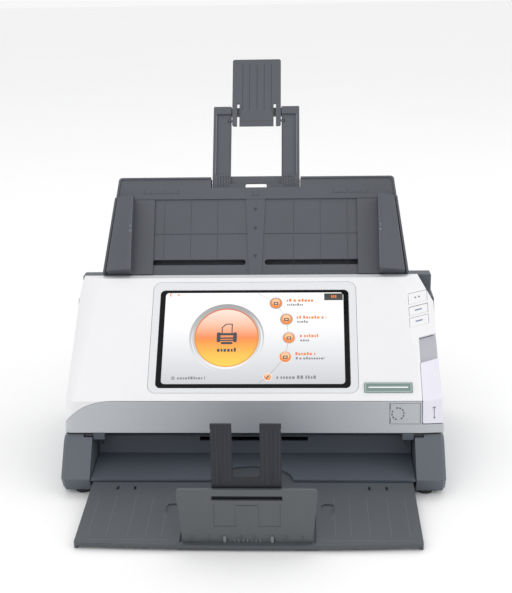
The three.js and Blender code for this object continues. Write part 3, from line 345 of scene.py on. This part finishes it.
class Relief:
    # Thin raised or printed shapes on one face, joined as one piece.
    # With onto, they follow that node's skin.
    def __init__(self, name, matrix, body, slot, onto=None):
        self.mesh = bmesh.new()
        self.name, self.matrix, self.body, self.slot, self.onto = name, matrix, body, slot, onto
        self.finishes = []

    def prism(self, points, low, high, look):
        if look not in self.finishes:
            self.finishes.append(look)
        which = self.finishes.index(look)
        area = sum(a[0] * b[1] - b[0] * a[1] for a, b in zip(points, points[1:] + points[:1]))
        loop = points if area > 0 else points[::-1]
        bottom = [self.mesh.verts.new((x, y, low)) for x, y in loop]
        top = [self.mesh.verts.new((x, y, high)) for x, y in loop]
        faces = [self.mesh.faces.new(top), self.mesh.faces.new(bottom[::-1])]
        for i in range(len(loop)):
            k = (i + 1) % len(loop)
            faces.append(self.mesh.faces.new((bottom[i], bottom[k], top[k], top[i])))
        for face in faces:
            face.material_index = which

    def bar(self, x0, x1, y0, y1, low, high, look, corner=0.0):
        if corner <= 0:
            self.prism([(x0, y0), (x1, y0), (x1, y1), (x0, y1)], low, high, look)
            return
        points = []
        for cx, cy, start in ((x1 - corner, y0 + corner, -90), (x1 - corner, y1 - corner, 0),
                              (x0 + corner, y1 - corner, 90), (x0 + corner, y0 + corner, 180)):
            for step in range(7):
                turn = math.radians(start + step * 15)
                points.append((cx + corner * math.cos(turn), cy + corner * math.sin(turn)))
        self.prism(points, low, high, look)

    def disc(self, x, y, radius, low, high, look, steps=56):
        turns = [2 * math.pi * i / steps for i in range(steps)]
        self.prism([(x + radius * math.cos(t), y + radius * math.sin(t)) for t in turns], low, high, look)

    def arc(self, x, y, radius, width, start, end, low, high, look, steps=40):
        turns = [math.radians(start + (end - start) * i / steps) for i in range(steps + 1)]
        far, near = radius + width / 2, radius - width / 2
        outer = [(x + far * math.cos(t), y + far * math.sin(t)) for t in turns]
        inner = [(x + near * math.cos(t), y + near * math.sin(t)) for t in turns]
        for i in range(steps):
            self.prism([inner[i], outer[i], outer[i + 1], inner[i + 1]], low, high, look)

    def line(self, a, b, width, low, high, look):
        run = Vector((b[0] - a[0], b[1] - a[1])).normalized() * (width / 2)
        side = Vector((-run.y, run.x))
        self.prism([(a[0] + side.x, a[1] + side.y), (a[0] - side.x, a[1] - side.y),
                    (b[0] - side.x, b[1] - side.y), (b[0] + side.x, b[1] + side.y)], low, high, look)

    def words(self, x, y, width, height, low, high, look, seed=1):
        # A row of plain short bars, in place of lettering.
        at, turn = x, seed
        while at < x + width:
            turn = (turn * 37 + 11) % 97
            letter = height * (0.42 + (turn % 5) * 0.09)
            tall = height * (0.72 if turn % 3 else 1.0)
            self.bar(at, min(at + letter, x + width), y, y + tall, low, high, look)
            at += letter + height * (0.62 if turn % 7 == 0 else 0.26)

    def settle(self):
        node = nodes[self.onto]
        points = [node.matrix_world @ vertex.co for vertex in node.data.vertices]
        skin = BVHTree.FromPolygons(points, [tuple(polygon.vertices) for polygon in node.data.polygons])
        out = (self.matrix.to_3x3() @ Vector((0, 0, 1))).normalized()
        for vertex in self.mesh.verts:
            x, y, height = vertex.co
            hit = skin.ray_cast(self.matrix @ Vector((x, y, 40)), -out)[0]
            if hit is None:
                raise ValueError(f"{self.name} runs off {self.onto} at {x:.1f}, {y:.1f}")
            vertex.co = hit + out * height * mm

    def finish(self):
        data = bpy.data.meshes.new(self.name)
        if self.onto:
            self.settle()
        else:
            self.mesh.transform(self.matrix)
        self.mesh.to_mesh(data)
        self.mesh.free()
        for look in self.finishes:
            data.materials.append(look)
        piece = bpy.data.objects.new(self.name, data)
        bpy.context.scene.collection.objects.link(piece)
        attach(piece, self.body)


def slopeHeight(s, matrix):
    # Distance along a sloping face in millimetres, as a shader value.
    foot = matrix.translation
    along = (matrix.to_3x3() @ Vector((0, 1, 0))).normalized()
    away = s.node("ShaderNodeVectorMath", {"operation": "SUBTRACT"}, {0: s.place(), 1: tuple(foot)})
    return s.node("ShaderNodeVectorMath", {"operation": "DOT_PRODUCT"}, {0: away, 1: tuple(along / mm)}, 1)


# The picture on the display, in millimetres from the middle of its lower edge.
screen = {
    "half": 77.05, "high": 85.9, "corner": 3.0, "top": -0.19, "layer": 0.02,
    "button": (-23.0, 43.0, 27.0, 32.0),
    "small": ((18.9, 75.6, 5.6), (28.0, 60.1, 5.6), (30.1, 42.4, 5.6), (27.1, 24.6, 5.6), (12.4, 6.4, 3.5)),
    "chain": {"from": (3.1, 85.6), "to": (4.5, 0.6), "width": 0.28},
    "tab": (60.6, 76.6, 78.3, 85.0),
    "signal": {"x": 66.6, "pitch": 1.7, "width": 1.1, "low": 80.6, "high": 83.2},
}


def lit(name, glow, colour, span=None):
    # A lit colour of the picture. With a span up the face, colour is a list of stops along it.
    s = Shader(name)
    smear = s.noise(s.place(), 24.0, 3.0)
    if span:
        inputs = {"Value": slopeHeight(s, onFace), "From Min": span[0], "From Max": span[1]}
        height = s.node("ShaderNodeMapRange", {"interpolation_type": "LINEAR"}, inputs)
        stops = [(place, rgb(*levels)[:3]) for place, levels in colour]
        shown = s.node("ShaderNodeValToRGB", {"stops": stops}, {"Fac": height})
        s.set(Base_Color=s.mixed(0.9, shown, (0, 0, 0, 1)), Emission_Color=shown)
    else:
        s.set(Base_Color=shade(rgb(*colour), 0.1), Emission_Color=rgb(*colour))
    s.set(Emission_Strength=glow, Roughness=0.12 + smear * 0.08)
    return s.material


tones = {
    "paper": lit("display background", 0.94, [(0.0, (200, 201, 205)), (0.3, (222, 223, 226)),
        (0.62, (244, 244, 246)), (1.0, (253, 253, 253))], (0, screen["high"])),
    "orange": lit("display orange", 0.95, [(0.0, (248, 206, 72)), (0.2, (247, 190, 66)),
        (0.44, (243, 146, 58)), (0.5, (240, 136, 70)), (0.72, (249, 190, 160)),
        (1.0, (253, 226, 214))], (16, 70)),
    "rim": lit("display button rim", 0.9, [(0.0, (236, 170, 60)), (1.0, (222, 96, 60))], (16, 70)),
    "ring": lit("display grey ring", 0.92, [(0.0, (246, 247, 248)), (0.3, (206, 207, 207)),
        (1.0, (158, 159, 158))], (12, 74)),
    "ink": lit("display ink", 0.9, (52, 54, 66)),
    "greyInk": lit("display grey ink", 0.9, (132, 132, 134)),
    "orangeInk": lit("display orange ink", 0.9, (238, 132, 52)),
    "gold": lit("display small orange", 0.92, (238, 132, 52)),
    "goldLight": lit("display small highlight", 0.95, (250, 196, 150)),
    "tab": lit("display dark tab", 0.85, [(0.0, (70, 70, 72)), (1.0, (44, 44, 46))], (76, 86)),
}

symbol = {
    "bars": ((-8.6, -5.4, -4.6, 4.8, 1.4), (5.4, 8.6, -4.6, 4.8, 1.4), (-5.6, 5.6, 1.9, 4.1, 0.0),
             (-5.6, 5.6, -1.4, 0.0, 0.0), (-5.0, 5.0, -6.4, -4.2, 0.8), (-5.6, 5.6, -3.4, -2.2, 0.0),
             (-4.6, -3.7, 4.0, 9.6, 0.0), (3.9, 4.8, 4.0, 13.0, 0.0), (-0.6, 4.8, 12.1, 13.0, 0.0)),
    "fold": ((-4.3, 9.2), (-0.5, 12.7), 0.9),
    "caption": (-8.0, -13.4, 16.0, 3.6),
}
# Each label is a row of bars over a shorter one: place, both widths and a seed for their lengths.
labels = ((28.2, 77.0, 23.0, 13.6, 3), (36.8, 60.6, 25.4, 9.2, 8), (39.4, 43.0, 15.6, 7.4, 13),
          (35.6, 26.2, 16.8, 24.0, 21))
footLabels = ((19.8, 4.6, 33.6, 3.0, 31), (-63.6, 4.2, 23.6, 2.5, 17))

picture = Relief("display_picture", onFace, "cover", "screen_glass")
top, layer = screen["top"], screen["layer"]


def sheet(level, thick=0.4):
    # Lower and upper side of one of the picture's thin layers.
    return top + level * layer, top + (level + thick) * layer


half, high = screen["half"], screen["high"]
picture.bar(-half, half, 0, high, *sheet(0, 1), tones["paper"], screen["corner"])
chain = [screen["chain"]["from"]] + [(x, y) for x, y, _ in screen["small"]] + [screen["chain"]["to"]]
for start, end in zip(chain, chain[1:]):
    picture.line(start, end, screen["chain"]["width"], *sheet(1, 1), tones["greyInk"])

x, y, inner, outer = screen["button"]
picture.disc(x, y, outer, *sheet(1, 1), tones["ring"], 96)
picture.disc(x + 0.4, y - 1.6, inner + 3.4, *sheet(2), tones["paper"], 96)
picture.disc(x, y, inner + 2.4, *sheet(2.4), tones["ring"], 96)
picture.disc(x, y, inner + 0.6, *sheet(3), tones["rim"], 96)
picture.disc(x, y, inner - 0.5, *sheet(4), tones["orange"], 96)

# Document feeder symbol: body, tray and a folded sheet.
mark = sheet(5, 0.5)
middle = Vector((x + 0.2, y))
for left, right, below, above, corner in symbol["bars"]:
    low, high = middle.y + below, middle.y + above
    picture.bar(middle.x + left, middle.x + right, low, high, *mark, tones["ink"], corner)
start, end, width = symbol["fold"]
picture.line(middle + Vector(start), middle + Vector(end), width, *mark, tones["ink"])
left, below, width, tall = symbol["caption"]
picture.words(middle.x + left, middle.y + below, width, tall, *mark, tones["ink"], 5)

raised = (mark[1], mark[1] + layer)
for index, (x, y, size) in enumerate(screen["small"]):
    picture.disc(x, y, size, *sheet(2), tones["ring"], 40)
    picture.disc(x, y, size * 0.86, *sheet(3), tones["gold"], 40)
    picture.disc(x, y + size * 0.2, size * 0.6, *sheet(4), tones["goldLight"], 40)
    if index < len(labels):
        half, low, high = size * 0.36, y - size * 0.3, y + size * 0.22
        picture.bar(x - half, x + half, low, high, *mark, tones["ink"], size * 0.1)
        half, low, high = size * 0.2, y - size * 0.14, y + size * 0.08
        picture.bar(x - half, x + half, low, high, *raised, tones["goldLight"])
    else:
        picture.line((x - 1.2, y - 1.2), (x + 1.2, y + 1.2), 1.1, *mark, tones["ink"])
for x, y, wide, short, seed in labels:
    picture.words(x, y, wide, 2.9, *mark, tones["orangeInk"], seed)
    picture.words(x + 0.4, y - 3.9, short, 2.3, *mark, tones["greyInk"], seed + 4)
for x, y, wide, tall, seed in footLabels:
    picture.words(x, y, wide, tall, *mark, tones["greyInk"], seed)
picture.arc(-67.0, 5.3, 1.1, 0.9, 0, 360, *mark, tones["greyInk"], 20)
picture.arc(-72.4, 84.1, 1.1, 0.8, 40, 320, *mark, tones["orangeInk"], 14)
picture.prism([(-67.4, 84.6), (-64.4, 84.6), (-65.9, 82.8)], *mark, tones["orangeInk"])
picture.bar(*screen["tab"], *mark, tones["tab"])
bars = screen["signal"]
for step in range(3):
    left = bars["x"] + step * bars["pitch"]
    picture.bar(left, left + bars["width"], bars["low"], bars["high"], *raised, tones["orangeInk"])
picture.finish()
print("display picture made")

# Printed and moulded marks, with lighter lines painted on some edges, rims and ribs as highlights. A depth
# is how far each shape goes under the skin and stands out of it.
printInk = plastic("grey print", rgb(120, 122, 130), 0.5, 0.0003, 0.000004)
blueInk = plastic("blue grey print", rgb(126, 134, 160), 0.45, 0.0003, 0.000004)
darkInk = plastic("dark print", rgb(66, 68, 72), 0.5, 0.0003, 0.000004)
badgeLight = plastic("pale print", rgb(236, 238, 236), 0.4, 0.0003, 0.000004)
trayMark = plastic("moulded tray mark", rgb(50, 53, 59), 0.55, 0.0004, 0.00001)
# The lighter colours below are painted highlights on rims, edges and rib tops; the tray one also colours
# the guides' moulded arrows and dots.
trayShine = plastic("tray marks and painted edge highlight", rgb(116, 120, 127), 0.42, 0.0004, 0.00001)
stackerShine = plastic("stacker lines with painted highlight", rgb(104, 108, 112), 0.4, 0.0005, 0.00001)
stopShine = plastic("stop ribs with painted highlight", rgb(120, 123, 127), 0.36, 0.0005, 0.00001)
forkShine = plastic("fork ribs with painted highlight", rgb(50, 55, 64), 0.36, 0.0005, 0.00001)


def mirroredSpan(side, near, far):
    # Both ends of a span on one side of the middle, from the distances to it.
    return (near, far) if side > 0 else (-far, -near)


badge = {
    "left": 93.6, "right": 131.2, "low": -7.3, "high": 0.25, "line": 0.25, "border": (1.0, 1.06),
    "bar": (96.0, 128.8, -4.1, -3.0), "barDepth": (1.0, 1.08),
}
badgeMarks = Relief("badge_marks", onFace, "cover", "badge_metal")
for low in (badge["low"], badge["high"] - badge["line"]):
    badgeMarks.bar(badge["left"], badge["right"], low, low + badge["line"], *badge["border"], badgeLight)
for left in (badge["left"], badge["right"] - badge["line"]):
    badgeMarks.bar(left, left + badge["line"], badge["low"], badge["high"], *badge["border"], badgeLight)
badgeMarks.bar(*badge["bar"], *badge["barDepth"], badgeLight, 0.5)
badgeMarks.finish()

lip = {
    "ring": (119.9, 16.2, 4.9, 1.0), "dashes": 12, "missing": (4, 9), "turn": 17, "depth": (-0.2, 0.14),
    "ticks": ((8.4, 12.4), (19.6, 24.0)), "tickSides": (113.6, 113.95), "tickDepth": (-0.2, 0.12),
}
lipMarks = Relief("lip_marks", onLip, "cover", "silver_plastic")
for step in range(lip["dashes"]):
    if step not in lip["missing"]:
        start = step * 360 / lip["dashes"]
        lipMarks.arc(*lip["ring"], start, start + lip["turn"], *lip["depth"], darkInk, 4)
for low, high in lip["ticks"]:
    lipMarks.bar(*lip["tickSides"], low, high, *lip["tickDepth"], darkInk)
lipMarks.finish()

# The upper key has two dots, the others a dash that follows the keys' slope.
keys = {
    "rise": 0.514, "dot": 0.85, "dotReach": 1.7, "dash": 3.6, "dashWidth": 1.15, "depth": (-0.15, 0.07),
    "places": (("scan_key", "scan_button", 141.2, 99.4), ("mode_key", "mode_button", 141.7, 87.2),
               ("send_key", "send_button", 141.7, 76.3)),
}
for name, body, x, y in keys["places"]:
    keyMark = Relief(name + "_mark", onKeys, body, "white_plastic", name)
    if name == "scan_key":
        for reach in (-keys["dotReach"], keys["dotReach"]):
            keyMark.disc(x + reach, y + reach * keys["rise"], keys["dot"], *keys["depth"], printInk, 20)
    else:
        run = Vector((1, keys["rise"])).normalized() * keys["dash"]
        start, end = (x - run.x, y - run.y), (x + run.x, y + run.y)
        keyMark.line(start, end, keys["dashWidth"], *keys["depth"], blueInk)
    keyMark.finish()

# A plain plug mark on the end strip.
plug = {
    "foot": (20.0, 47.0), "angle": 90.0, "stem": (149.8, 150.3, 12.4, 20.6), "stemDepth": (-0.15, 0.07),
    "dot": (150.05, 12.0, 0.8), "dotDepth": (-0.15, 0.075),
    "cross": (148.6, 151.5, 19.2, 19.8), "crossDepth": (-0.15, 0.08),
}
onStrip = slope(*plug["foot"], plug["angle"])
stripMark = Relief("side_strip_mark", onStrip, "cover", "cool_white_plastic", "side_strip")
stripMark.bar(*plug["stem"], *plug["stemDepth"], printInk)
stripMark.disc(*plug["dot"], *plug["dotDepth"], printInk, 18)
stripMark.bar(*plug["cross"], *plug["crossDepth"], printInk)
stripMark.finish()
print("printed marks made")

tray = {
    "ticks": (3.2, 1.8, 3.2, 1.8, 1.8, 3.2), "tickStart": 70.0, "tickPitch": 6.2, "tickHalf": 0.18,
    "tickFoot": 80.0, "rule": (69.0, 102.0), "ruleHeight": (79.2, 79.5),
    "lines": (34.0, 58.0, 82.0), "lineHalf": 0.15, "lineRuns": ((10.0, 40.0), (42.2, 72.0)),
    "arrows": (18.0, 44.0, 62.0), "arrowHalf": 1.5, "arrowHeight": 3.4,
    "middle": ((-3.4, 3.4, 77.0, 77.3), (-2.6, -2.3, 78.0, 82.0), (2.3, 2.6, 78.0, 82.0)),
    "depth": (-0.1, 0.1), "lineDepth": (-0.1, 0.09), "arrowDepth": (-0.1, 0.12),
}
trayMarks = Relief("tray_marks", onPath, "base", "pale_grey_plastic", "paper_tray")
for side in (-1, 1):
    half, foot = tray["tickHalf"], tray["tickFoot"]
    for step, tall in enumerate(tray["ticks"]):
        x = side * (tray["tickStart"] + step * tray["tickPitch"])
        trayMarks.bar(x - half, x + half, foot, foot + tall, *tray["depth"], trayMark)
    trayMarks.bar(*mirroredSpan(side, *tray["rule"]), *tray["ruleHeight"], *tray["depth"], trayMark)
    half = tray["lineHalf"]
    for x in tray["lines"]:
        for low, high in tray["lineRuns"]:
            trayMarks.bar(side * x - half, side * x + half, low, high, *tray["lineDepth"], trayMark)
half = tray["arrowHalf"]
for low in tray["arrows"]:
    high = low + tray["arrowHeight"]
    trayMarks.prism([(-half, high), (0.0, low), (half, high)], *tray["arrowDepth"], trayMark)
for sides in tray["middle"]:
    trayMarks.bar(*sides, *tray["depth"], trayMark)
trayMarks.finish()

guide = {
    "x": 110.6, "dot": 40.0, "radius": 0.9, "arrowTip": 43.0, "arrowTop": 45.4, "depth": (-0.1, 0.12),
    "edge": 109.35, "edgeHalf": 0.12, "edgeRun": (5.0, 71.5), "edgeDepth": (-0.1, 0.05),
}
for side, body, name in ((1, "guide_right", "right_guide"), (-1, "guide_left", "left_guide")):
    guideMarks = Relief(name + "_marks", onPath, body, "grey_plastic", name)
    x, half, high = side * guide["x"], guide["radius"], guide["arrowTop"]
    guideMarks.disc(x, guide["dot"], half, *guide["depth"], trayShine, 18)
    arrow = [(x - half, high), (x, guide["arrowTip"]), (x + half, high)]
    guideMarks.prism(arrow, *guide["depth"], trayShine)
    # The thin lighter line along the guide's edge is a painted highlight.
    x, half = side * guide["edge"], guide["edgeHalf"]
    guideMarks.bar(x - half, x + half, *guide["edgeRun"], *guide["edgeDepth"], trayShine)
    guideMarks.finish()

# Thin black strips set 0.6 to 2.3 mm below the feed path's face, at both sides of the extension.
strip = {"sides": (39.8, 40.4), "run": (85.4, 93.2), "depth": (-2.3, -0.6)}
darkStrips = Relief("extension_dark_strips", onPath, "base", "black_rubber")
for side in (-1, 1):
    darkStrips.bar(*mirroredSpan(side, *strip["sides"]), *strip["run"], *strip["depth"], looks["rubber"])
darkStrips.finish()

rails = {"run": (100.0, 157.5), "outer": (37.0, 0.25), "inner": (24.4, 0.15), "depth": (-0.1, 0.08)}
railMarks = Relief("extension_edges", onPath, "extension", "grey_plastic", "extension_frame")
for side in (-1, 1):
    # The lighter outer line is a painted highlight on the rim's edge.
    for (x, half), finish in ((rails["outer"], trayShine), (rails["inner"], trayMark)):
        railMarks.bar(side * x - half, side * x + half, *rails["run"], *rails["depth"], finish)
railMarks.finish()

flap = {
    "ribs": (-13.0, -6.5, 0.4, 7.0, 13.6), "ribHalf": 0.2, "ribRun": (163.0, 209.0),
    "ribDepth": (-0.1, 0.12),
    "slots": 4, "slotX": 15.0, "slotHalf": 0.7, "slotLow": 157.5, "slotPitch": 1.9, "slotHeight": 1.2,
    "slotDepth": (-0.1, 0.06),
}
flapMarks = Relief("flap_ribs", onPath, "flap", "grey_plastic", "extension_flap")
half = flap["ribHalf"]
for x in flap["ribs"]:
    flapMarks.bar(x - half, x + half, *flap["ribRun"], *flap["ribDepth"], trayMark)
half = flap["slotHalf"]
for side in (-1, 1):
    x = side * flap["slotX"]
    for step in range(flap["slots"]):
        low = flap["slotLow"] + step * flap["slotPitch"]
        flapMarks.bar(x - half, x + half, low, low + flap["slotHeight"], *flap["slotDepth"], darkInk)
flapMarks.finish()

# The ribs' lighter colour is a painted highlight on their tops.
fork = {"ribs": (12.2, 15.4, 18.6, 21.8, 24.6), "half": 0.16, "run": (50.0, 92.5), "depth": (-0.1, 0.16)}
forkMarks = Relief("fork_ribs", onStop, "fork", "deep_grey_plastic", "stop_fork")
half = fork["half"]
for side in (-1, 1):
    for x in fork["ribs"]:
        forkMarks.bar(side * x - half, side * x + half, *fork["run"], *fork["depth"], forkShine)
forkMarks.finish()

# The lines' lighter colour is a painted highlight.
outTray = {
    "lines": (66.0, 78.0, 92.0, 108.0, 122.0), "half": 0.14, "run": (8.0, 62.0),
    "rule": (58.0, 126.0), "ruleHeight": (3.6, 3.9), "depth": (-0.1, 0.08),
}
outMarks = Relief("output_tray_lines", onOut, "stacker", "grey_plastic", "output_tray")
half, depth = outTray["half"], outTray["depth"]
for side in (-1, 1):
    for x in outTray["lines"]:
        outMarks.bar(side * x - half, side * x + half, *outTray["run"], *depth, stackerShine)
    outMarks.bar(*mirroredSpan(side, *outTray["rule"]), *outTray["ruleHeight"], *depth, stackerShine)
outMarks.finish()

# Ribs and hooks stand out and are coloured lighter: a painted highlight on them.
stop = {
    "ribs": 7, "pitch": 3.2, "ribHalf": 0.35, "ribRun": (2.0, 4.6), "ribDepth": (-0.1, 0.7),
    "hooks": (-17.0, 18.5), "hookHalf": 1.1, "hookRun": (2.2, 7.2), "hookDepth": (-0.1, 1.1),
    "gap": (1.5, 2.6), "gapRun": (2.2, 5.6), "gapDepth": (-0.1, 0.1),
}
stopMarks = Relief("stop_ribs", onStop, "stop", "stop_plastic", "stop_panel")
half = stop["ribHalf"]
for step in range(stop["ribs"]):
    x = (step - (stop["ribs"] - 1) / 2) * stop["pitch"]
    stopMarks.bar(x - half, x + half, *stop["ribRun"], *stop["ribDepth"], stopShine)
half = stop["hookHalf"]
near, far = stop["gap"]
for x in stop["hooks"]:
    stopMarks.bar(x - half, x + half, *stop["hookRun"], *stop["hookDepth"], stopShine, 0.5)
    stopMarks.bar(x + near, x + far, *stop["gapRun"], *stop["gapDepth"], darkInk)
stopMarks.finish()
print("moulded marks made")

studio = {
    "floor": 9.0, "world": 0.94,
    "keyPower": 5.0, "keyPlace": (-0.5, -1.1, 1.9), "keySize": 1.5,
    "fillPower": 3.5, "fillPlace": (1.6, -0.5, 1.3), "fillSize": 1.2,
    "topPower": 4.0, "topPlace": (0.1, 0.7, 2.0), "topSize": 1.6,
}

floorMesh = bpy.data.meshes.new("floor")
half = studio["floor"]
corners = [(-half, -half, 0), (half, -half, 0), (half, half, 0), (-half, half, 0)]
floorMesh.from_pydata(corners, [], [(0, 1, 2, 3)])
floor = bpy.data.objects.new("floor", floorMesh)
bpy.context.scene.collection.objects.link(floor)
floorShader = Shader("studio floor")
floorShade = floorShader.noise(floorShader.place(), 3.0, 3.0)
floorTone = floorShader.mixed(floorShade, (0.93, 0.93, 0.935, 1), (0.96, 0.96, 0.96, 1))
floorShader.set(Base_Color=floorTone, Roughness=0.75)
floorMesh.materials.append(floorShader.material)

world = bpy.data.worlds.new("studio")
bpy.context.scene.world = world
bpy.context.scene.view_settings.view_transform = "Standard"  # the finishes are given in display colours
world.use_nodes = True
world.node_tree.nodes["Background"].inputs["Color"].default_value = (1.0, 1.0, 1.0, 1)
world.node_tree.nodes["Background"].inputs["Strength"].default_value = studio["world"]


def softBox(name, power, place, size):
    light = bpy.data.lights.new(name, "AREA")
    light.energy = power
    light.shape = "SQUARE"
    light.size = size
    lamp = bpy.data.objects.new(name, light)
    lamp.location = place
    lamp.rotation_euler = (Vector((0, 0, 0.12)) - Vector(place)).to_track_quat("-Z", "Y").to_euler()
    bpy.context.scene.collection.objects.link(lamp)


for which in ("key", "fill", "top"):
    softBox(which, studio[which + "Power"], studio[which + "Place"], studio[which + "Size"])

eye = {"place": (42.38, -794.56, 425.53), "yaw": -2.621, "down": 17.593, "roll": -1.053,
       "lens": 75.9375, "sensor": 36.0}
cameraData = bpy.data.cameras.new("camera")
camera = bpy.data.objects.new("camera", cameraData)
bpy.context.scene.collection.objects.link(camera)
bpy.context.scene.camera = camera
yaw, down, roll = (math.radians(eye[key]) for key in ("yaw", "down", "roll"))
ahead = Vector((math.sin(yaw) * math.cos(down), math.cos(yaw) * math.cos(down), -math.sin(down)))
level = Vector((math.cos(yaw), -math.sin(yaw), 0))
upright = level.cross(ahead)
right = level * math.cos(roll) + upright * math.sin(roll)
up = upright * math.cos(roll) - level * math.sin(roll)
place = Vector(eye["place"]) * mm + Vector((0, originShift, 0))
camera.matrix_world = Matrix.Translation(place) @ Matrix((right, up, -ahead)).transposed().to_4x4()
cameraData.sensor_fit = "HORIZONTAL"
cameraData.sensor_width = eye["sensor"]
cameraData.lens = eye["lens"]
cameraData.clip_end = 60.0
print("studio ready")
